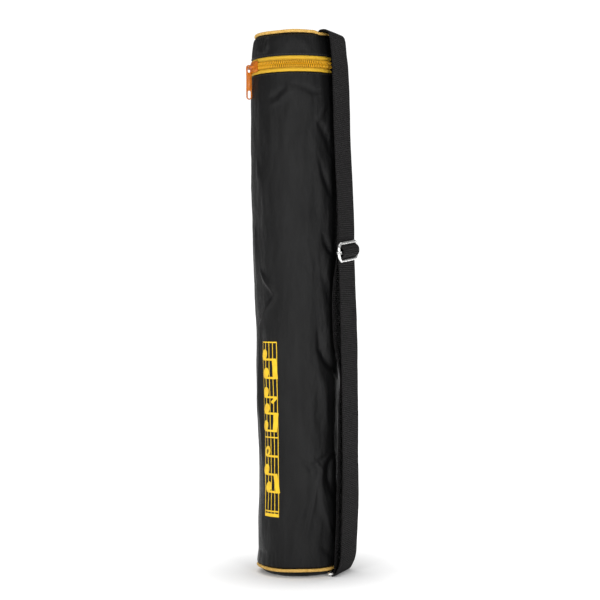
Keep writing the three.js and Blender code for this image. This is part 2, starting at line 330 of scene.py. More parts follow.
def woven(nodes, pitch, depth):
    """Fine over-and-under threads, from waves round the bag and up it."""
    place = nodes.xyz(nodes.place)
    around = nodes.math("ARCTAN2", place["Y"], place["X"])
    turns = nodes.math("MULTIPLY", around, WALL_R / pitch * 2 * pi)
    rise = nodes.math("MULTIPLY", place["Z"], 2 * pi / (pitch * MM))
    threads = nodes.math("MULTIPLY", nodes.math("SINE", turns, 0.0), nodes.math("SINE", rise, 0.0))
    nodes.bump(threads, depth)


def nylon():
    nodes = Nodes("black_nylon", (0.004, 0.004, 0.0042), 0.44, specular=0.19)
    faded = nodes.noise(55, 5, (1, 1, 0.35))
    nodes.ramp(faded, (0.0028, 0.0028, 0.003), (0.0058, 0.0058, 0.006))
    nodes.ramp(nodes.noise(38, 3, (1, 1, 0.4)), 0.36, 0.54, "Roughness")
    nodes.bump(nodes.noise(60, 5, (1, 1, 0.5), 0.55), 1.6, 0.6)
    woven(nodes, 0.55, 0.03)
    return nodes.material


def webbing():
    nodes = Nodes("black_webbing", (0.008, 0.0075, 0.0077), 0.75, specular=0.08)
    run = nodes.xyz(nodes.add("TexCoord").outputs["UV"])
    slant = nodes.math("MULTIPLY", nodes.math("PINGPONG", run["X"], 2.4), 0.16)
    along = nodes.math("ADD", run["Y"], slant)
    rib = nodes.math("SINE", nodes.math("MULTIPLY", along, 2 * pi / RIB_PITCH), 0.0)
    cords = nodes.math("SINE", nodes.math("MULTIPLY", run["X"], 2 * pi / 2.1), 0.0)
    # Random tone from wear, plus painted shade along the ribs: the colour darkens where each rib dips and
    # lightens on its crest.
    wear_and_rib_shade = nodes.math("ADD", nodes.noise(300, 3), nodes.math("MULTIPLY", rib, 0.16))
    nodes.ramp(wear_and_rib_shade, (0.0032, 0.0028, 0.003), (0.0155, 0.0142, 0.0148), "Base Color", 0.25, 0.75)
    nodes.bump(rib, 0.42, 1.0)
    nodes.bump(cords, 0.09, 0.8)
    nodes.bump(nodes.noise(1500, 2, (1, 1, 2.5)), 0.1, 0.6)
    nodes.set("Sheen Weight", 0.015)
    return nodes.material


def yellow_cloth(name, low, high, pitch):
    nodes = Nodes(name, high, 0.6, specular=0.3)
    nodes.ramp(nodes.noise(420, 3), low, high, "Base Color", 0.35, 0.6)
    nodes.ramp(nodes.noise(200, 2), 0.5, 0.7, "Roughness")
    woven(nodes, pitch, 0.05)
    return nodes.material


def zip_tape():
    """Yellow tape, in the shade of the chain near its middle."""
    nodes = Nodes("yellow_tape", (0.66, 0.4, 0.024), 0.6, specular=0.3)
    height = nodes.xyz(nodes.place)["Z"]
    from_chain = nodes.math("ABSOLUTE", nodes.math("SUBTRACT", height, ZIP_Z * MM), 0.0)
    grain = nodes.math("MULTIPLY", nodes.noise(420, 3), 0.3)
    shade = nodes.math("ADD", nodes.math("MULTIPLY", from_chain, 190), grain)
    nodes.ramp(shade, (0.13, 0.045, 0.001), (0.64, 0.38, 0.022), "Base Color", 0.62, 1.0)
    nodes.ramp(nodes.noise(200, 2), 0.5, 0.7, "Roughness")
    woven(nodes, 0.5, 0.05)
    return nodes.material


def zip_coil():
    nodes = Nodes("yellow_coil", (0.72, 0.37, 0.012), 0.45, specular=0.3)
    nodes.ramp(nodes.noise(600, 2), (0.64, 0.31, 0.006), (0.76, 0.4, 0.014))
    return nodes.material


def orange_metal():
    nodes = Nodes("orange_paint", (0.52, 0.12, 0.001), 0.3, specular=0.28)
    nodes.ramp(nodes.noise(260, 3), (0.42, 0.098, 0.0005), (0.54, 0.15, 0.001))
    nodes.ramp(nodes.noise(500, 4), 0.26, 0.42, "Roughness")
    nodes.set("Coat Weight", 0.06)
    nodes.bump(nodes.noise(900, 3), 0.03, 0.4)
    return nodes.material


def silver_wire():
    nodes = Nodes("nickel_wire", (0.82, 0.82, 0.81), 0.3, metallic=0.9)
    # The diagonal waves paint light and dark stripes into the wire's colour: painted highlight stripes, as
    # plated wire has one even colour.
    twist = nodes.add("TexWave", Scale=105, Distortion=0.6, bands_direction="DIAGONAL")
    nodes.link(nodes.place, twist.inputs["Vector"])
    nodes.ramp(twist.outputs["Fac"], (0.5, 0.5, 0.49), (0.95, 0.95, 0.94), "Base Color", 0.1, 0.5)
    nodes.ramp(nodes.noise(900, 3), 0.24, 0.42, "Roughness")
    nodes.bump(nodes.noise(1400, 3), 0.02, 0.5)
    return nodes.material


def screen_print():
    nodes = Nodes("yellow_print", (0.87, 0.56, 0.008), 0.5)
    nodes.ramp(nodes.noise(160, 4), (0.8, 0.47, 0.004), (0.9, 0.6, 0.01))
    nodes.ramp(nodes.noise(500, 3), 0.42, 0.6, "Roughness")
    nodes.bump(nodes.noise(1100, 3), 0.05, 0.5)
    return nodes.material


def thread():
    nodes = Nodes("black_thread", (0.02, 0.02, 0.021), 0.55)
    nodes.ramp(nodes.noise(900, 2), (0.014, 0.014, 0.015), (0.028, 0.028, 0.03))
    return nodes.material


def hard(name, low, high, rough, metallic=0.0, grain=400, depth=0.03, stretch=(1, 1, 1)):
    """Paint, moulded plastic, rubber, board or plated steel: a grain in colour, roughness and height."""
    nodes = Nodes(name, high, rough[1], metallic)
    nodes.ramp(nodes.noise(grain * 0.4, 4, stretch), low, high)
    nodes.ramp(nodes.noise(grain * 0.7, 3, stretch), *rough, "Roughness")
    nodes.bump(nodes.noise(grain, 4, stretch), depth, 0.6)
    return nodes.material


NYLON = nylon()
WEBBING = webbing()
PIPING = yellow_cloth("yellow_piping", (0.58, 0.34, 0.072), (0.7, 0.43, 0.115), 0.6)
TAPE = zip_tape()
COIL = zip_coil()
ORANGE = orange_metal()
SILVER = silver_wire()
PRINT = screen_print()
THREAD = thread()
BOARD = hard("stiff_board", (0.03, 0.03, 0.03), (0.06, 0.06, 0.058), (0.6, 0.8))
TUBE = hard("black_powder_coat", (0.01, 0.01, 0.011), (0.02, 0.02, 0.021), (0.35, 0.5), 0.0, 1200, 0.04)
MOULDED = hard("moulded_plastic", (0.012, 0.012, 0.012), (0.022, 0.022, 0.022), (0.45, 0.62), 0.0, 800, 0.05)
RUBBER = hard("matt_rubber", (0.008, 0.008, 0.008), (0.016, 0.016, 0.016), (0.75, 0.9), 0.0, 600, 0.06)
STEEL = hard("plated_steel", (0.38, 0.38, 0.39), (0.52, 0.52, 0.53), (0.25, 0.42), 1.0, 500, 0.02,
             (1, 1, 0.2))


# ---- camera, light and floor


def aimed(start, aim):
    """The matrix of a camera or lamp at start that looks at aim."""
    turn = (aim - start).to_track_quat("-Z", "Y").to_matrix().to_4x4()
    return Matrix.Translation(start * MM) @ turn


def place_camera():
    back = Vector(unit(CAMERA_ANGLE))
    right = Vector((-back.y, back.x, 0))
    start = back * CAMERA["distance"] + right * CAMERA["side"] + Vector((0, 0, CAMERA["height"]))
    aim = right * CAMERA["side"] + Vector((0, 0, CAMERA["aim"]))
    camera = linked("camera", bpy.data.cameras.new("camera"))
    camera.data.lens = CAMERA["lens"]
    camera.data.sensor_width = 36
    camera.data.clip_end = 200
    roll = Matrix.Rotation(radians(-CAMERA["roll"]), 4, "Z")
    camera.matrix_world = aimed(start, aim) @ roll
    bpy.context.scene.camera = camera


def area_light(name, angle, distance, height, size, power):
    light = bpy.data.lights.new(name, "AREA")
    light.shape = "RECTANGLE"
    light.size, light.size_y = size[0] * MM, size[1] * MM
    light.energy = power
    lamp = linked(name, light)
    start = Vector(unit(angle)) * distance + Vector((0, 0, height))
    lamp.matrix_world = aimed(start, Vector((0, 0, LAMP_AIM)))


def studio():
    world = bpy.data.worlds.new("studio")
    world.use_nodes = True
    background = world.node_tree.nodes["Background"]
    background.inputs["Color"].default_value = (1, 1, 1, 1)
    seen = world.node_tree.nodes.new("ShaderNodeLightPath").outputs["Is Camera Ray"]
    strength = world.node_tree.nodes.new("ShaderNodeMapRange")
    strength.inputs["To Min"].default_value = 0.2
    strength.inputs["To Max"].default_value = 1.1
    world.node_tree.links.new(seen, strength.inputs["Value"])
    world.node_tree.links.new(strength.outputs["Result"], background.inputs["Strength"])
    bpy.context.scene.world = world
    area_light("key", CAMERA_ANGLE - 24, distance=1500, height=600, size=(400, 1600), power=9.8)
    area_light("fill", CAMERA_ANGLE + 24, distance=1800, height=500, size=(420, 1200), power=12)
    sun = bpy.data.lights.new("overhead", "SUN")
    sun.energy = 1.6
    sun.angle = radians(75)
    lamp = linked("overhead", sun)
    lamp.rotation_euler = (radians(-12), 0, radians(CAMERA_ANGLE + 90))
    bpy.context.scene.view_settings.view_transform = "Standard"


def floor():
    """A pale floor whose own light rises away from the bag, so that only the contact is shaded."""
    nodes = Nodes("floor", (0.88, 0.88, 0.88), 0.9, specular=0.1)
    nodes.ramp(nodes.noise(3, 2), (0.87, 0.87, 0.87), (0.89, 0.89, 0.89))
    nodes.set("Emission Color", (1, 1, 1, 1))
    place = nodes.add("NewGeometry").outputs["Position"]
    away = nodes.add("VectorMath", operation="LENGTH")
    nodes.link(place, away.inputs[0])
    nodes.ramp(away.outputs["Value"], 0.12, 0.58, "Emission Strength", 0.05, 0.16)
    half = 60000
    corners = [(-half, -half, 0), (half, -half, 0), (half, half, 0), (-half, half, 0)]
    new_object("floor", corners, [(0, 1, 2, 3)], nodes.material, smooth=False)


# ---- the nylon wall


# Radius of the wall up its height: all round, and on the side away from the strap as seen from
# the camera, where the cloth is drawn in at the waist.
WALL_PROFILE = [
    (0, 42.8), (16, 42.5), (40, 42.2), (90, 41.6), (200, 41.8), (320, 43.0), (400, 44.1), (470, 44.3),
    (500, 43.2),
]
WAIST_PROFILE = [
    (0, 43.4), (14, 42.9), (24, 41.9), (51, 41.6), (93, 40.0), (135, 40.8), (177, 42.0), (233, 41.8),
    (275, 43.3), (345, 43.9), (400, 44.8), (471, 44.3), (500, 43.2),
]
WAIST_ANGLE = CAMERA_ANGLE - 90

# Folds of the cloth. Each is a line of (angle from the camera's side, height) points, with its
# height and half width in millimetres. A positive lean makes the side nearer the strap fall away.
FOLDS = [
    # by the strap, upper half
    ([(54, 486), (55, 440), (54, 330), (55, 250), (54, 170), (52, 130)], 3.4, 9, 0.0),
    ([(50, 120), (50, 80), (52, 40), (54, 16)], 2.4, 7, 0.0),
    ([(26, 448), (36, 441), (46, 428), (54, 408)], -1.7, 3.4, 0.6),
    ([(46, 466), (34, 452), (25, 440)], 0.9, 2.2, 0.3),
    ([(20, 440), (28, 415), (34, 380), (36, 340)], 1.2, 4.5, 0.5),
    ([(30, 412), (37, 395), (52, 368)], -1.5, 2.6, 0.7),
    ([(36, 336), (43, 325), (54, 312)], -1.8, 2.6, 0.6),
    ([(34, 300), (42, 285), (50, 262)], -1.0, 3, 0.5),
    # upper middle
    ([(-34, 461), (-21, 466), (-8, 475), (-8, 484), (-13, 492)], 1.7, 2.7, -0.5),
    ([(-36, 468), (-24, 471), (-14, 478)], -1.1, 2.6, 0.0),
    ([(-4, 482), (10, 479), (25, 474), (40, 476)], -1.2, 2.6, 0.0),
    ([(2, 492), (-2, 470), (-12, 440), (-16, 405)], 0.9, 3.2, 0.4),
    ([(20, 468), (12, 448), (6, 420), (10, 392)], 0.9, 3.4, -0.4),
    ([(-34, 456), (-31, 430), (-36, 395)], 1.1, 3.4, 0.4),
    ([(-52, 478), (-48, 455), (-54, 425)], 0.8, 3.6, 0.3),
    ([(-60, 412), (-54, 400), (-52, 384), (-58, 366)], 1.1, 2.6, 0.5),
    # middle
    ([(-62, 402), (-45, 388), (-43, 360), (-50, 335)], 0.9, 3.2, 0.6),
    ([(-8, 380), (4, 352), (2, 318), (-6, 290)], 0.9, 4, 0.4),
    ([(18, 366), (12, 330), (20, 296)], 0.8, 3.6, -0.4),
    ([(-30, 352), (-24, 322), (-32, 296)], 0.8, 3.6, 0.4),
    ([(-56, 301), (-45, 291), (-36, 284), (-30, 277), (-32, 270)], 1.9, 1.9, 0.9),
    ([(-29, 279), (-34, 271), (-44, 262), (-59, 246), (-64, 235)], 1.9, 1.8, 0.9),
    ([(-46, 410), (-42, 370), (-38, 335), (-41, 298)], 1.3, 4.6, 0.4),
    ([(-28, 330), (-32, 300), (-29, 280)], -0.8, 3.0, 0.0),
    ([(-70, 345), (-66, 320), (-68, 290)], 1.1, 2.6, 0.4),
    ([(-68, 245), (-66, 210), (-67, 170), (-64, 120), (-62, 84)], 1.5, 2.0, 0.2),
    ([(-59, 240), (-57, 200), (-58, 160), (-56, 110)], -0.9, 2.2, 0.0),
    ([(-12, 264), (-2, 240), (-6, 214)], 0.8, 3.2, 0.3),
    ([(6, 190), (0, 160), (8, 132)], 0.9, 3.6, 0.4),
    ([(24, 186), (20, 160), (26, 136)], 0.7, 3.0, 0.3),
    # lower half by the strap
    ([(30, 243), (33, 224), (43, 212), (55, 204), (66, 191)], -2.6, 3.4, 0.7),
    ([(25, 232), (28, 205), (38, 185), (43, 150)], 1.3, 4.4, 0.4),
    ([(-2, 118), (14, 108), (34, 116), (46, 122)], -1.4, 2.2, -0.5),
    ([(20, 116), (27, 111), (33, 104)], 0.8, 1.5, 0.0),
    ([(54, 119), (47, 110), (45, 98), (50, 76)], -3.8, 4, 0.2),
    ([(36, 112), (31, 92), (36, 70), (52, 40)], 2.0, 3.6, 1.0),
    ([(12, 110), (9, 76), (-5, 42), (-10, 22)], 1.3, 3.2, 0.6),
    ([(28, 100), (16, 64), (5, 30)], 1.5, 2.0, 0.5),
    ([(22, 92), (11, 58), (2, 28)], -1.0, 1.8, 0.0),
    ([(40, 60), (48, 48), (58, 34)], -1.4, 2.0, 0.3),
    ([(-16, 92), (-24, 62), (-20, 34)], 0.9, 3.0, 0.4),
    ([(30, 30), (44, 22), (54, 14)], -1.4, 2.6, 0.4),
    # bottom, far side
    ([(-78, 24), (-62, 21), (-50, 22)], -0.9, 3, 0.2),
    ([(-68, 36), (-60, 48), (-64, 64)], 0.8, 4, 0.4),
    # behind
    ([(110, 440), (118, 400), (112, 350)], 1.2, 6, 0.5),
    ([(150, 470), (140, 420), (150, 380)], 1.2, 4, 0.3),
    ([(205, 455), (196, 420), (204, 372)], -1.0, 4, 0.4),
    ([(170, 330), (184, 300), (176, 262)], 1.4, 4, 0.6),
    ([(120, 300), (136, 280), (124, 240)], -1.4, 4, 0.5),
    ([(215, 330), (228, 300), (218, 268)], 1.3, 4, 0.5),
    ([(100, 210), (112, 190), (130, 184)], -1.8, 4, 0.5),
    ([(150, 190), (160, 150), (148, 110)], 1.4, 4, 0.5),
    ([(200, 200), (212, 160), (202, 120)], 1.1, 4, 0.4),
    ([(110, 120), (124, 90), (112, 50)], 1.8, 4, 0.7),
    ([(170, 80), (186, 56), (180, 30)], -1.2, 3, 0.4),
    ([(230, 100), (240, 60), (232, 28)], 1.0, 4, 0.4),
]


def from_camera(angle):
    """Angle from the camera's side, from -180 to 180."""
    return (angle - CAMERA_ANGLE + 180) % 360 - 180


def fold(across, height, line, rise, width, lean):
    """How far one fold lifts the cloth, at arrays of places: across and height in millimetres."""
    points = [(radians(a) * WALL_R, z) for a, z in line]
    nearest = np.full(across.shape, 1e9)
    signed = np.zeros(across.shape)
    share = np.zeros(across.shape)
    lengths = [dist(p, q) for p, q in zip(points, points[1:])]
    travelled = 0.0
    for (x0, z0), (x1, z1), length in zip(points, points[1:], lengths):
        along = ((across - x0) * (x1 - x0) + (height - z0) * (z1 - z0)) / length**2
        along = np.clip(along, 0, 1)
        dx = across - (x0 + along * (x1 - x0))
        dz = height - (z0 + along * (z1 - z0))
        distance = np.hypot(dx, dz)
        closer = distance < nearest
        nearest = np.where(closer, distance, nearest)
        signed = np.where(closer, np.where(dx >= 0, distance, -distance), signed)
        share = np.where(closer, (travelled + along * length) / sum(lengths), share)
        travelled += length
    ends = np.sin(np.pi * np.clip(share, 0.02, 0.98)) ** 0.7
    spread = width * (0.6 + 0.8 * ends)
    bell = np.exp(-((nearest / spread) ** 2))
    return rise * ends * bell * (1 - 0.6 * lean * np.clip(signed / spread, -1, 1))


def ripple(angle, height, seed, around, up, octaves=3):
    """Smooth seeded noise over the wall, about -1 to 1, the same on both sides of the seam in angle."""
    out = np.empty(angle.shape)
    direction = unit(angle)
    for i in np.ndindex(angle.shape):
        spot = Vector((direction[i][0] * around, direction[i][1] * around, height[i] / up + seed))
        out[i] = noise.fractal(spot, 1.0, 2.0, octaves)
    return out


def pucker(angle, height, seam, reach, pitch, rise):
    """Small gathers that run out from a sewn seam."""
    away = np.abs(height - seam)
    count = round(2 * pi * WALL_R / pitch)
    wave = np.sin(np.radians(angle) * count + 1.7 * np.sin(np.radians(angle) * 7))
    return rise * wave * np.exp(-away / reach)


def wall_radius(angle, height):
    """Outer radius of the nylon wall at arrays of angles and heights."""
    side = np.clip(np.cos(np.radians(angle - WAIST_ANGLE)), 0, 1) ** 2
    radius = (1 - side) * hermite(height, WALL_PROFILE) + side * hermite(height, WAIST_PROFILE)
    across = np.radians(from_camera(angle)) * WALL_R
    whole_turn = 2 * pi * WALL_R
    held = np.clip((height - WALL_LOW) / 14, 0, 1) * np.clip((WALL_HIGH - height) / 16, 0, 1)
    lifted = np.zeros(angle.shape)
    for line, rise, width, lean in FOLDS:
        lifted += fold(across, height, line, rise, width, lean)
        lifted += fold(across + whole_turn, height, line, rise, width, lean)
    lifted += 0.7 * ripple(angle, height, 3.1, 1.6, 90)
    lifted += 0.45 * ripple(angle, height, 11.7, 5.0, 30)
    radius += held**0.6 * np.clip(lifted, -4.5, 2.4)
    radius += pucker(angle, height, WALL_LOW, 7, 7.5, 0.28)
    radius += pucker(angle, height, WALL_HIGH, 6, 8.5, 0.22)
    return radius


def make_wall():
    angles = np.linspace(0, 360, 300, endpoint=False)
    heights = np.linspace(WALL_LOW - 0.6, WALL_HIGH, 340)
    columns, rows = np.meshgrid(angles, heights)
    radius = wall_radius(columns, rows)
    tucked = hermite(heights, [(0, 0), (WALL_LOW - 0.6, -0.8), (WALL_LOW + 1.6, 0), (100, 0), (400, 0),
                               (WALL_HIGH - 1.4, 0), (WALL_HIGH, -0.5)])
    radius += tucked[:, None]
    wall = grid("nylon_wall", turned(radius, angles, heights[:, None]), NYLON, wrap_cols=True)
    settle(thicken(wall, CLOTH_THICK), "bag", "nylon", "body_panel")


def make_lid_wall():
    angles = np.linspace(0, 360, 400, endpoint=False)
    heights = np.linspace(LID_LOW, LID_HIGH + 0.4, 36)
    columns, rows = np.meshgrid(angles, heights)
    profile = [(LID_LOW, 42.7), (LID_LOW + 1.5, 43.0), (516, 42.6), (524, 41.6), (529, 40.3),
               (LID_HIGH + 0.4, LID_SEAM_R - 0.2)]
    radius = hermite(rows, profile)
    across = np.radians(from_camera(columns)) * WALL_R
    held = np.clip((rows - LID_LOW) / 5, 0, 1) * np.clip((LID_HIGH - rows) / 5, 0, 1)
    for line, rise, width, lean in [
        ([(-40, 529), (-39, 520), (-42, 511)], 1.6, 2.6, 1.0),
        ([(-72, 514), (-58, 518), (-44, 513)], 0.7, 2.6, 0.3),
        ([(8, 528), (16, 520), (22, 512)], 0.5, 3, 0.4),
        ([(-14, 526), (-10, 519), (-16, 512)], 0.4, 3, 0.4),
        ([(120, 527), (128, 519), (122, 512)], 0.8, 3, 0.5),
        ([(165, 514), (176, 520), (190, 514)], 0.7, 3, 0.5),
    ]:
        radius += held * fold(across, rows, line, rise, width, lean)
    radius += held * 0.45 * ripple(columns, rows, 7.3, 2.6, 22)
    radius += pucker(columns, rows, LID_HIGH, 3.2, 3.4, 0.42)
    wall = grid("nylon_lid_wall", turned(radius, angles, heights[:, None]), NYLON, wrap_cols=True)
    settle(thicken(wall, CLOTH_THICK), "lid", "nylon", "lid_wall")


def make_discs():
    angles = np.linspace(0, 360, 120, endpoint=False)
    radii = np.array([0.4, 4, 8, 12, 16, 20, 24, 27, 30, 32, 34, 36, 37.5, 38.6, 39.4, 40.2])
    columns, rows = np.meshgrid(angles, radii)
    sag = hermite(rows, [(0, 0.1), (31, 0.1), (34, 0.6), (37, 2.0), (39.2, 4.4), (40.4, 6.6)])
    sag += 0.25 * ripple(columns, rows, 21.0, 3.0, 14) * np.clip((rows - 26) / 6, 0, 1)
    base = turned(rows, angles, np.maximum(sag, 0.05))
    top_faces = [tuple(reversed(face)) for face in grid_faces(len(radii), len(angles), True)]
    top_faces.append(tuple(range(len(angles))))
    base_faces = [tuple(reversed(face)) for face in top_faces]
    base_piece = new_object("nylon_base", base.reshape(-1, 3), base_faces, NYLON)
    settle(thicken(base_piece, CLOTH_THICK), "bag", "nylon", "base_disc")
    crown = hermite(rows, [(0, 1.3), (20, 1.1), (32, 0.5), (38, 0.0), (40.4, -0.4)])
    crown += 0.35 * ripple(columns, rows, 5.0, 2.2, 12)
    crown += pucker(columns, rows, 40.2, 3.0, 4.6, 0.25)
    top = turned(np.minimum(rows, LID_SEAM_R - 1), angles, LID_SEAM_Z + crown)
    top_piece = new_object("nylon_lid_top", top.reshape(-1, 3), top_faces, NYLON)
    settle(thicken(top_piece, CLOTH_THICK), "lid", "nylon", "lid_disc")


def make_piping(name, seam_r, seam_z, body, node, pressed=0.0):
    """Bias binding drawn over a cord: a round rim with fine gathers, pressed down under the strap."""
    angles = np.linspace(0, 360, 480, endpoint=False)
    section = np.linspace(0, 2 * pi, 14, endpoint=False)
    columns, rows = np.meshgrid(angles, section)
    gather = 0.07 * np.sin(np.radians(columns) * 110 + 2.0 * np.sin(rows))
    size = PIPING_LOOK * (0.98 + 0.03 * np.sin(np.radians(columns) * 9)) + gather
    radius = seam_r + size * np.cos(rows)
    rise = seam_z + size * np.sin(rows) + 0.25 * np.sin(np.radians(columns) * 5 + 1)
    points = turned(radius, angles, rise)
    under_strap = np.abs((columns + 180) % 360 - 180)
    points[..., 2] -= pressed * np.clip((37 - under_strap) / 8, 0, 1)
    settle(grid(name, points, PIPING, wrap_cols=True, wrap_rows=True), body, "piping", node)


# ---- zip


def band_round(name, profile, angles, material, thickness):
    """A turned strip: profile is a list of (height, radius)."""
    heights = np.array([z for z, _ in profile], float)
    radii = np.array([r for _, r in profile], float)
    radius = np.repeat(radii[:, None], len(angles), axis=1)
    wave = 0.14 * np.sin(np.radians(angles) * 23) + 0.1 * np.sin(np.radians(angles) * 41 + 1)
    ends = np.clip((heights - heights.min()) * (heights.max() - heights), 0, 1)
    radius += wave[None, :] * ends[:, None]
    return thicken(grid(name, turned(radius, angles, heights[:, None]), material), thickness)


def make_tapes():
    angles = np.linspace(TAPE_HALF_ANGLE, 360 - TAPE_HALF_ANGLE, 300)
    lower = [(TAPE_LOW - 1.0, 42.0), (TAPE_LOW + 0.3, 43.1), (TAPE_LOW + 1.0, 43.5), (TAPE_LOW + 2.1, 43.35),
             (TAPE_LOW + 2.9, 42.9), (TAPE_LOW + 3.4, 42.2), (TAPE_LOW + 3.9, 42.1), (TAPE_LOW + 4.7, 42.5),
             (TAPE_LOW + 5.6, 42.5)]
    upper = [(TAPE_LOW + TAPE_HIGH - z, r - 0.15) for z, r in reversed(lower)]
    settle(band_round("lower_tape_cloth", lower, angles, TAPE, 0.5), "bag", "zip_tape", "lower_zip_tape")
    settle(band_round("upper_tape_cloth", upper, angles, TAPE, 0.5), "lid", "zip_tape", "upper_zip_tape")


# One loop of the coil: (rise from the chain's middle, radius, how far aside).
COIL_LOOP = [
    (-3.3, 42.4, -0.16), (-2.9, 43.3, -0.12), (-2.0, 43.9, -0.06), (-1.1, 43.65, 0), (-0.1, 42.9, 0.04),
    (0.55, 42.4, 0.05),
]


def tooth_row(name, sign, shift):
    """One half of the chain: loops of coil that reach just past the middle between the other half's."""
    parts = []
    step = TOOTH_PITCH / WALL_R
    turn = radians(TAPE_HALF_ANGLE + 0.8) + shift * step
    while turn < radians(360 - TAPE_HALF_ANGLE - 0.8):
        out, side = axes_at(turn)
        up = np.array([0, 0, sign])
        middle = np.array([0, 0, ZIP_Z])
        path = [middle + up * rise + out * radius + side * aside for rise, radius, aside in COIL_LOOP]
        parts.append(tube(path, [0.42, 0.6, 0.66, 0.6, 0.48, 0.36], 6))
        turn += step
    return joined(name, parts, COIL)


def stitch_ring(name, radius_at, height, angles, length=2.1, size=0.2, material=THREAD):
    """A row of sewn stitches round the bag, each a short thread lying on the surface."""
    parts = []
    half = degrees(length / 2 / WALL_R)
    for angle in angles:
        path = []
        for offset, lift in ((-1, -0.12), (-0.6, 0.16), (0, 0.22), (0.6, 0.16), (1, -0.12)):
            at = angle + offset * half
            out, _ = axes_at(radians(at))
            path.append(out * (radius_at(at, height) + lift) + np.array([0, 0, height]))
        parts.append(tube(path, [0.1, size, size, size, 0.1], 6))
    return joined(name, parts, material)


def wall_at(angle, height):
    return float(wall_radius(np.array([[angle]]), np.array([[height]]))[0, 0])


def make_zip():
    make_tapes()
    settle(tooth_row("lower_teeth", 1, 0), "bag", "zip_coil", "lower_zip_coil")
    settle(tooth_row("upper_teeth", -1, 0.5), "lid", "zip_coil", "upper_zip_coil")
    stitches = np.arange(TAPE_HALF_ANGLE + 2, 360 - TAPE_HALF_ANGLE - 2, 3.9)
    low = stitch_ring("lower_zip_stitches", wall_at, WALL_HIGH - 1.9, stitches)
    settle(low, "bag", "nylon")
    high = stitch_ring("upper_zip_stitches", lambda a, z: 43.0, LID_LOW + 1.7, stitches)
    settle(high, "lid", "nylon")
    for name, body, height, radius in (
        ("lower_tape_stitches", "bag", TAPE_LOW + 2.5, 43.2),
        ("upper_tape_stitches", "lid", TAPE_HIGH - 2.5, 43.05),
    ):
        row = stitch_ring(name, lambda a, z, r=radius: r, height, stitches + 1, 1.9, 0.17, TAPE)
        settle(row, body, "zip_tape")
    hinge_angles = np.linspace(-TAPE_HALF_ANGLE - 1.5, TAPE_HALF_ANGLE + 1.5, 40)
    profile = [(WALL_HIGH - 1.5, 42.4), (WALL_HIGH + 0.4, 42.9), (ZIP_Z - 3, 42.8), (ZIP_Z, 42.6),
               (ZIP_Z + 3, 42.8), (LID_LOW - 0.4, 42.8), (LID_LOW + 1.2, 42.3)]
    fine = np.linspace(profile[0][0], profile[-1][0], 24)
    profile = list(zip(fine, hermite(fine, profile)))
    hinge = band_round("nylon_hinge", profile, hinge_angles, NYLON, 0.6)
    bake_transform(hinge)
    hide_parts("hinge_strip")


# ---- slider and pull tab


def rounded_plate(name, outline, holes, thickness, material, bevel):
    """A flat plate in the local XY plane, with holes, centred on its thickness."""
    mesh = bmesh.new()
    for loop in [outline, *holes]:
        verts = [mesh.verts.new((x * MM, y * MM, -thickness / 2 * MM)) for x, y in loop]
        for a, b in zip(verts, verts[1:] + verts[:1]):
            mesh.edges.new((a, b))
    bmesh.ops.triangle_fill(mesh, edges=mesh.edges[:], use_beauty=True, use_dissolve=True)
    lifted = bmesh.ops.extrude_face_region(mesh, geom=mesh.faces[:])["geom"]
    moved = [item for item in lifted if isinstance(item, bmesh.types.BMVert)]
    bmesh.ops.translate(mesh, vec=(0, 0, thickness * MM), verts=moved)
    bmesh.ops.recalc_face_normals(mesh, faces=mesh.faces[:])
    data = bpy.data.meshes.new(name)
    mesh.to_mesh(data)
    mesh.free()
    data.materials.append(material)
    piece = linked(name, data)
    soften(piece, bevel, 40)
    for polygon in data.polygons:
        polygon.use_smooth = True
    return piece


def arc(x, y, radius, start, end, steps):
    turn = np.radians(np.linspace(start, end, steps))
    return [(x + radius * cos(t), y + radius * sin(t)) for t in turn]


def stand_plate(piece, radius, angle, height):
    """Turns a plate drawn in XY (x outward, y up) into the upright radial plane at an angle."""
    stand = Matrix.Rotation(radians(90), 4, "X")
    turn = Matrix.Rotation(radians(angle), 4, "Z")
    place = Matrix.Translation(Vector((radius, 0, height)) * MM)
    piece.data.transform(turn @ place @ stand)
    return piece


def make_tab():
    """The pull tab: a ring at the bridge, a waisted shank with a raised panel, and a long grip hole."""
    low, high = cad("pull_tab")
    length = high.z - low.z
    top = high.z - 2.7
    end = top - length + 2.7 + 2.8
    outline = arc(0, 0, 2.9, 0, 180, 14) + [(-2.8, -5), (-2.75, -10), (-2.8, -16), (-2.95, -21)]
    outline += arc(0, end - top, 2.95, 180, 360, 16) + [(2.95, -21), (2.8, -16), (2.75, -10), (2.8, -5)]
    eye = arc(0, 0.15, 1.25, 0, 180, 9) + arc(0, -3.6, 1.25, 180, 360, 9)
    grip = arc(0, -24.0, 1.5, 0, 180, 10) + arc(0, -28.8, 1.5, 180, 360, 10)
    tab = rounded_plate("orange_tab", outline, [eye, grip], 1.7, ORANGE, 0.5)
    settle(stand_plate(tab, TAB_R, TAB_ANGLE, top), "tab", "orange_metal", "pull_tab")
    raised = [(-1.3, -7.4), (1.3, -7.4), (1.15, -12), (1.35, -19.8), (-1.35, -19.8), (-1.15, -12)]
    panel = rounded_plate("orange_tab_panel", raised, [], 2.05, ORANGE, 0.25)
    settle(stand_plate(panel, TAB_R, TAB_ANGLE, top), "tab", "orange_metal")


def slider_plate(radius, thickness, half_height, half_angle, name):
    """A shield-shaped plate wrapped round the chain, bent in along both long edges."""
    columns = np.linspace(-1, 1, 25)
    rows = np.linspace(-1, 1, 15)
    across, up = np.meshgrid(columns, rows)
    waist = 1 - 0.22 * np.clip(np.abs(across) - 0.55, 0, 1) / 0.45
    waist = waist - 0.1 * np.exp(-((across / 0.35) ** 2))
    lip = 0.5 * np.clip((np.abs(up) - 0.72) / 0.28, 0, 1) ** 1.5
    dome = 0.35 * (1 - across**2) * (1 - up**2)
    angles = SLIDER_ANGLE + across * half_angle
    piece = grid(name, turned(radius + dome - lip, angles, ZIP_Z + up * half_height * waist), ORANGE)
    return soften(thicken(piece, thickness, 1), 0.3)


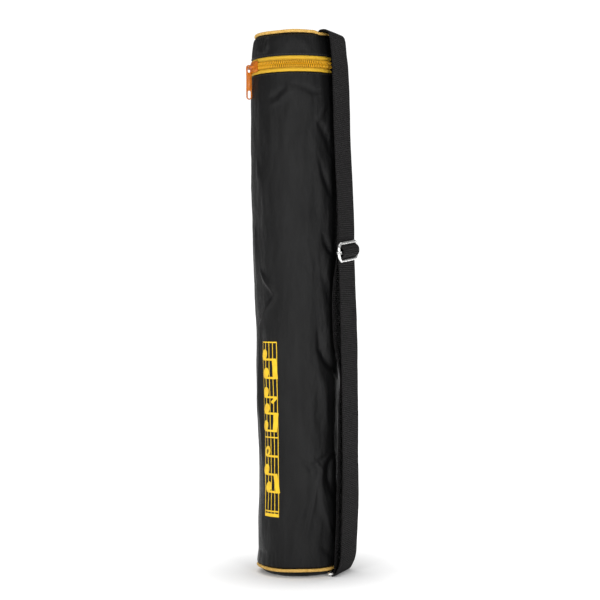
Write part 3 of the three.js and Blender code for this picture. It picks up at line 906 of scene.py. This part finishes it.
def make_slider():
    outer = slider_plate(44.3, 1.1, 5.4, 10.5, "orange_slider")
    settle(outer, "slider", "orange_metal", "zip_slider")
    inner = slider_plate(40.9, 0.8, 4.4, 9.5, "orange_slider_back")
    settle(inner, "slider", "orange_metal")
    # The bridge: a loop of the casting from the slider's body out to the tab's eye.
    out, side = axes_at(radians(TAB_ANGLE))
    up = np.array([0, 0, 1.0])
    middle = up * ZIP_Z

    def at(radius, aside, rise=0.0):
        return middle + out * radius + side * aside + up * rise

    path = [at(44.6, 7.6), at(46.1, 6.9), at(47.3, 5.4), at(47.75, 3.2), at(47.8, 0.6), at(47.8, -2.2),
            at(47.5, -4.6), at(46.4, -6.2), at(44.9, -6.9), at(43.9, -7.0)]
    bridge = tube(path, [1.35, 1.2, 1.0, 0.88, 0.85, 0.85, 0.9, 1.0, 1.1, 0.9], 12)
    tongue = [at(44.7, 8.8), at(45.0, 4.5), at(44.9, 0.0), at(44.5, -4.0), at(43.9, -7.6)]
    rail = tube(tongue, [1.3, 1.5, 1.5, 1.3, 0.9], 12)
    neck = tube([middle + 40.9 * unit(SLIDER_ANGLE), middle + 44.6 * unit(SLIDER_ANGLE)], 0.8, 12)
    prongs = []
    for rise in (-2.7, 2.7):
        start = middle + 44.8 * unit(SLIDER_ANGLE + 6) + up * rise
        finish = middle + 44.5 * unit(SLIDER_ANGLE + 10.2) + up * rise * 1.15
        bend = (start + finish) / 2 + 0.15 * unit(SLIDER_ANGLE)
        prongs.append(tube([start, bend, finish], [1.0, 0.95, 0.7], 10))
    settle(joined("orange_bridge", [bridge, rail, neck, *prongs], ORANGE), "slider", "orange_metal")


# ---- webbing, buckle and ring


SECTION = [(-1.0, 0.3), (-0.985, 0.7), (-0.95, 0.93), (-0.86, 1.0), (-0.6, 0.98), (-0.3, 1.0), (0, 1.0),
           (0.3, 1.0), (0.6, 0.98), (0.86, 1.0), (0.95, 0.93), (0.985, 0.7), (1.0, 0.3)]


def resample(line, step):
    line = np.asarray(line, float)
    places = np.concatenate([[0], np.cumsum(np.linalg.norm(np.diff(line, axis=0), axis=1))])
    curve = np.arange(0, places[-1] + step / 2, step)
    curve = curve[curve < places[-1]]
    curve = np.append(curve, places[-1])
    return np.stack([hermite(curve, list(zip(places, line[:, i]))) for i in range(line.shape[1])], axis=1)


def webbing_strip(name, line, half, thickness=WEBBING_THICK, step=2.0, sway=0.3, seed=0.0):
    """Webbing whose middle runs along (x, z) points, with rounded edges. V runs along it, in mm."""
    middle = resample(line, step)
    along = np.gradient(middle, axis=0)
    along /= np.linalg.norm(along, axis=1)[:, None]
    across = np.stack([along[:, 1], -along[:, 0]], axis=1)
    run = np.concatenate([[0], np.cumsum(np.linalg.norm(np.diff(middle, axis=0), axis=1))])
    outline = [(y, h) for y, h in SECTION] + [(y, -h) for y, h in reversed(SECTION)]
    verts, count = [], len(outline)
    for i, (x, z) in enumerate(middle):
        fade = min(1, min(i, len(middle) - 1 - i) / 6)
        drift = sway * fade * noise.noise(Vector((seed, run[i] / 38, 0)))
        twist = sway * 1.6 * fade * noise.noise(Vector((seed + 5, run[i] / 55, 0)))
        for y, h in outline:
            edge = 1 + 0.012 * fade * noise.noise(Vector((seed + 9, run[i] / 9, 2 * np.sign(y))))
            ripple_here = 0.16 * fade * noise.noise(Vector((run[i] / 16, y * 1.5, seed)))
            lift = h * thickness / 2 + ripple_here + twist * y
            verts.append((x + across[i, 0] * lift, y * half * edge + drift, z + across[i, 1] * lift))
    piece = new_object(name, verts, capped_faces(len(middle), count), WEBBING)
    mesh = piece.data
    layer = mesh.uv_layers.new(name="along")
    for loop in mesh.loops:
        row, column = divmod(loop.vertex_index, count)
        layer.data[loop.index].uv = (outline[column][0] * half + half, run[row])
    return piece


# The middle of the webbing as (distance from the bag's axis, height) points: over the rim and down to
# the buckle, on down to the ring, back up behind, and the hump of webbing through the buckle.
STRAP_UPPER = [
    (34.6, 533.2), (35.4, 534.2), (37.0, 534.8), (39.8, 534.9), (42.8, 534.1), (45.0, 532.0), (46.4, 527),
    (47.5, 515), (48.7, 503), (49.5, 480), (50.0, 440), (51.3, 400), (52.5, 372), (53.2, 340),
    (53.2, 319), (53.1, 308),
]
STRAP_LOWER = [
    (53.1, 312), (53.8, 290), (54.8, 250), (55.4, 177), (55.1, 120), (54.8, 80), (53.7, 50), (52.8, 32),
    (52.1, 20), (50.6, 12), (48.2, 6.6), (45.9, 2.6), (44.2, 1.0), (42.6, 0.8), (41.5, 1.9),
]
STRAP_BACK = [
    (43.6, 3.0), (44.9, 5.6), (45.3, 10), (45.9, 20), (47.3, 44), (49.4, 94), (50.8, 140), (51.6, 167),
    (53.2, 193), (50.6, 212), (47.3, 232), (46.5, 252), (46.3, 272), (47.4, 288), (49.0, 299), (51.0, 311),
    (51.6, 314),
]
HUMP = [
    (52.3, 332), (52.4, 329.6), (52.8, 327.4), (54.0, 325.4), (56.6, 323.8), (58.3, 321), (58.4, 318),
    (57.4, 315), (54.4, 312.8), (52.8, 310.8), (52.4, 308.4), (52.3, 306),
]


def make_strap():
    upper = webbing_strip("webbing_upper", STRAP_UPPER, STRAP_HALF, seed=1.0)
    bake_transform(upper)
    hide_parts("strap_top_end")
    lower = webbing_strip("webbing_lower", STRAP_LOWER, STRAP_HALF, seed=2.0)
    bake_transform(lower)
    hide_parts("strap_outer")
    back = webbing_strip("webbing_return", STRAP_BACK, STRAP_HALF - 0.3, seed=3.0, sway=0.2)
    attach(back, "bag")
    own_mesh(back)
    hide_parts("strap_return")
    hump = webbing_strip("webbing_hump", HUMP, STRAP_HALF - 0.3, step=0.8, sway=0.05, seed=4.0)
    middle = Matrix.Translation(Vector((BUCKLE.x, 0, BUCKLE.z)) * MM)
    hump.data.transform(middle @ Matrix.Rotation(radians(BUCKLE_TILT), 4, "X") @ middle.inverted())
    settle(hump, "buckle", "webbing")


def frame_loop(half_y, half_z, corner):
    """A rounded rectangle of points in the local YZ plane."""
    y, z = half_y - corner, half_z - corner
    points = []
    for cy, cz, start in ((y, z, 0), (-y, z, 90), (-y, -z, 180), (y, -z, 270)):
        points += arc(cy, cz, corner, start, start + 90, 9)
    path = []
    for (y0, z0), (y1, z1) in zip(points, points[1:] + points[:1]):
        steps = max(1, round(dist((y0, z0), (y1, z1)) / 1.5))
        path += [(y0 + (y1 - y0) * i / steps, z0 + (z1 - z0) * i / steps) for i in range(steps)]
    return path


def make_buckle():
    wire, flute, flute_turn = 1.5, 0.08, 0.75
    corner, bar_half, bar_r = 5.8, 21.4, 1.3
    eye_r, eye_wire = 1.95, 0.72
    tilt = Matrix.Rotation(radians(BUCKLE_TILT), 3, "X")
    centre = Vector((BUCKLE.x, 0, BUCKLE.z))

    def placed(points):
        return [tuple(centre + tilt @ Vector(p)) for p in points]

    loop = frame_loop(BUCKLE_HALF - wire, 10 - wire, corner)
    path = placed([(0.35 * cos(y / 8), y, z) for y, z in loop])
    verts, faces = tube(path, wire, 20, closed=True)
    rings = verts.reshape(len(path), 20, 3)
    for i, (y, _) in enumerate(loop):
        straight = np.clip((19 - abs(y)) / 3, 0, 1)
        lobes = 2 * np.linspace(0, 2 * pi, 20, endpoint=False) + y * flute_turn
        middle = np.array(path[i])
        rings[i] = middle + (rings[i] - middle) * (1 - flute * straight * (1 + np.cos(lobes)))[:, None]
    verts = rings.reshape(-1, 3)
    piece = new_object("silver_frame", verts, faces, SILVER)
    settle(piece, "buckle", "silver_wire", "buckle_frame")
    parts = [tube(placed([(0, y, 0) for y in np.linspace(-bar_half, bar_half, 24)]), bar_r, 14)]
    for side in (-1, 1):
        turns = np.linspace(0, 2 * pi, 25)[:-1]
        for rise in (-0.75, 0.75):
            middle_y = side * (BUCKLE_HALF - 0.8)
            loop = [(eye_r * cos(t), middle_y + eye_r * sin(t), rise) for t in turns]
            parts.append(tube(placed(loop), eye_wire, 10, closed=True))
    bar = joined("silver_centre_bar", parts, SILVER)
    settle(bar, "buckle", "silver_wire", "buckle_centre_bar")


def make_ring():
    centre = (RING_LOW + RING_HIGH) / 2
    wire = 1.2
    half_x = (RING_HIGH.x - RING_LOW.x) / 2 - wire
    half_y = (RING_HIGH.y - RING_LOW.y) / 2 - wire
    path = [(centre.x + x, y, centre.z) for y, x in frame_loop(half_y, half_x, 2.3)]
    verts, faces = tube(path, wire, 14, closed=True)
    settle(new_object("silver_ring", verts, faces, SILVER), "ring", "silver_wire", "lower_ring")
    inner = centre.x - half_x
    line = [(inner + 1.0, 6.2), (inner + 1.75, 4.1)]
    round_ring = np.radians([15, -30, -75, -120, -165])
    line += [(inner + 1.75 * cos(t), centre.z + 1.75 * sin(t)) for t in round_ring]
    line += [(inner - 2.4, 4.3)]
    tab = webbing_strip("webbing_ring_tab", line, 15, 0.8, 0.7, 0.0, 6.0)
    settle(tab, "bag", "webbing", "ring_tab")


# ---- screen print


PRINT_TOP = 231
PRINT_LEFT = 237.0
STAFF_LINES = [1, 5.5, 10, 14.5, 19]
PRINT_R = 41
INK_LIFT = 0.17


def print_patch(outline_rows):
    """A patch of ink from rows of (down, aside) points: down the bag from the print's top, and aside
    to the right of its left margin, both in millimetres."""
    rows = np.array(outline_rows, float)
    down, aside = rows[..., 0], rows[..., 1]
    heights = PRINT_TOP - down
    angles = PRINT_LEFT + np.degrees(aside / PRINT_R)
    radius = wall_radius(angles, heights) + INK_LIFT
    points = turned(radius, angles, heights)
    return points.reshape(-1, 3), grid_faces(*down.shape, False)


def bar_patch(down0, down1, aside0, aside1, width, steps=None):
    """A straight bar of ink between two points."""
    length = dist((down0, aside0), (down1, aside1))
    steps = steps or max(2, round(length / 1.2) + 1)
    normal = np.array([-(aside1 - aside0), down1 - down0]) / length * width / 2
    rows = []
    for share in (-1, 0, 1):
        line = [np.array([down0 + (down1 - down0) * t, aside0 + (aside1 - aside0) * t]) + normal * share
                for t in np.linspace(0, 1, steps)]
        rows.append(line)
    return print_patch(rows)


def oval_patch(down, aside, long_radius, short_radius, tilt, hole=0.0):
    """A tilted oval of ink. hole is the share of it left open in the middle."""
    cos_tilt, sin_tilt = cos(radians(tilt)), sin(radians(tilt))
    rows = []
    for share in np.linspace(max(hole, 0.02), 1, 5):
        ring = []
        for t in np.linspace(0, 2 * pi, 25):
            x, y = long_radius * share * cos(t), short_radius * share * sin(t)
            ring.append((down + x * cos_tilt - y * sin_tilt, aside + x * sin_tilt + y * cos_tilt))
        rows.append(ring)
    return print_patch(rows)


def make_print():
    """Five staff lines down the bag with bold notes on them, read from the top."""
    parts = [bar_patch(0, 172, aside, aside, 0.8, 130) for aside in STAFF_LINES]
    low, high = STAFF_LINES[0], STAFF_LINES[-1]
    for down, width in ((0.6, 1.2), (94, 1.2), (166.6, 1.4), (170.4, 3.2)):
        parts.append(bar_patch(down, down, low - 0.38, high + 0.38, width))
    stem = 14
    for down, aside, hole in (
        (13, 3.5, 0), (31, 5.5, 0), (50, 4.5, 0), (66, 5.5, 0), (83, 3, 0), (108, 5, 0.45), (126, 3, 0),
        (143, 6, 0),
    ):
        parts.append(oval_patch(down, aside, 5.6, 3.8, -20, hole))
        parts.append(bar_patch(down + 4.5, down + 4.5, aside, aside + stem, 2.0))
    beamed = (((13, 3.5), (31, 5.5)), ((66, 5.5), (83, 3)), ((126, 3), (143, 6)))
    for (down0, aside0), (down1, aside1) in beamed:
        parts.append(bar_patch(down0 + 3.6, down1 + 5.4, aside0 + stem - 1.8, aside1 + stem - 1.8, 4.8))
    parts.append(bar_patch(54.5, 60.0, 4.5 + stem - 0.4, 4.5 + stem - 6.5, 2.8))
    settle(joined("screen_print", parts, PRINT), "bag", "print")


# ---- the stand and the stiff parts, from CAD


def numbered(name, count):
    return [f"{name}_{i}" for i in range(1, count + 1)]


CAD_LOOKS = [
    (("mast_lower_tube", "mast_middle_tube", "mast_upper_tube", *numbered("leg", 3)), TUBE, 0.3),
    (("desk_spine", *numbered("desk_arm", 4)), TUBE, 0.5),
    (("desk_ledge_left", "desk_ledge_right"), TUBE, 0.4),
    (("lower_clutch", "upper_clutch", "leg_hub", "brace_hub", "desk_hub", "desk_wing_nut"), MOULDED, 0.8),
    (("mast_foot_plug", *numbered("foot", 3)), RUBBER, 1.0),
    ((*numbered("brace", 3), "desk_pivot_bolt", "page_clip_left", "page_clip_right"), STEEL, 0.35),
    (("base_board",), BOARD, 0.3),
    (("seam_binding",), NYLON, 0.4),
]


def dress_cad():
    """Materials and softened edges for the CAD nodes that stay in view."""
    for names, material, width in CAD_LOOKS:
        for name in names:
            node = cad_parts[name]
            node.data.materials.clear()
            node.data.materials.append(material)
            weld = node.modifiers.new("weld", "WELD")
            weld.merge_threshold = 0.02 * MM
            soften(node, width, 30)
            for polygon in node.data.polygons:
                polygon.use_smooth = True


place_camera()
studio()
floor()
make_wall()
make_lid_wall()
make_discs()
make_piping("yellow_base_piping", BASE_SEAM_R, BASE_SEAM_Z, "bag", "base_piping")
make_piping("yellow_lid_piping", LID_SEAM_R, LID_SEAM_Z, "lid", "lid_piping", PIPING_PRESSED)
make_zip()
make_slider()
make_tab()
make_strap()
make_buckle()
make_ring()
make_print()
dress_cad()
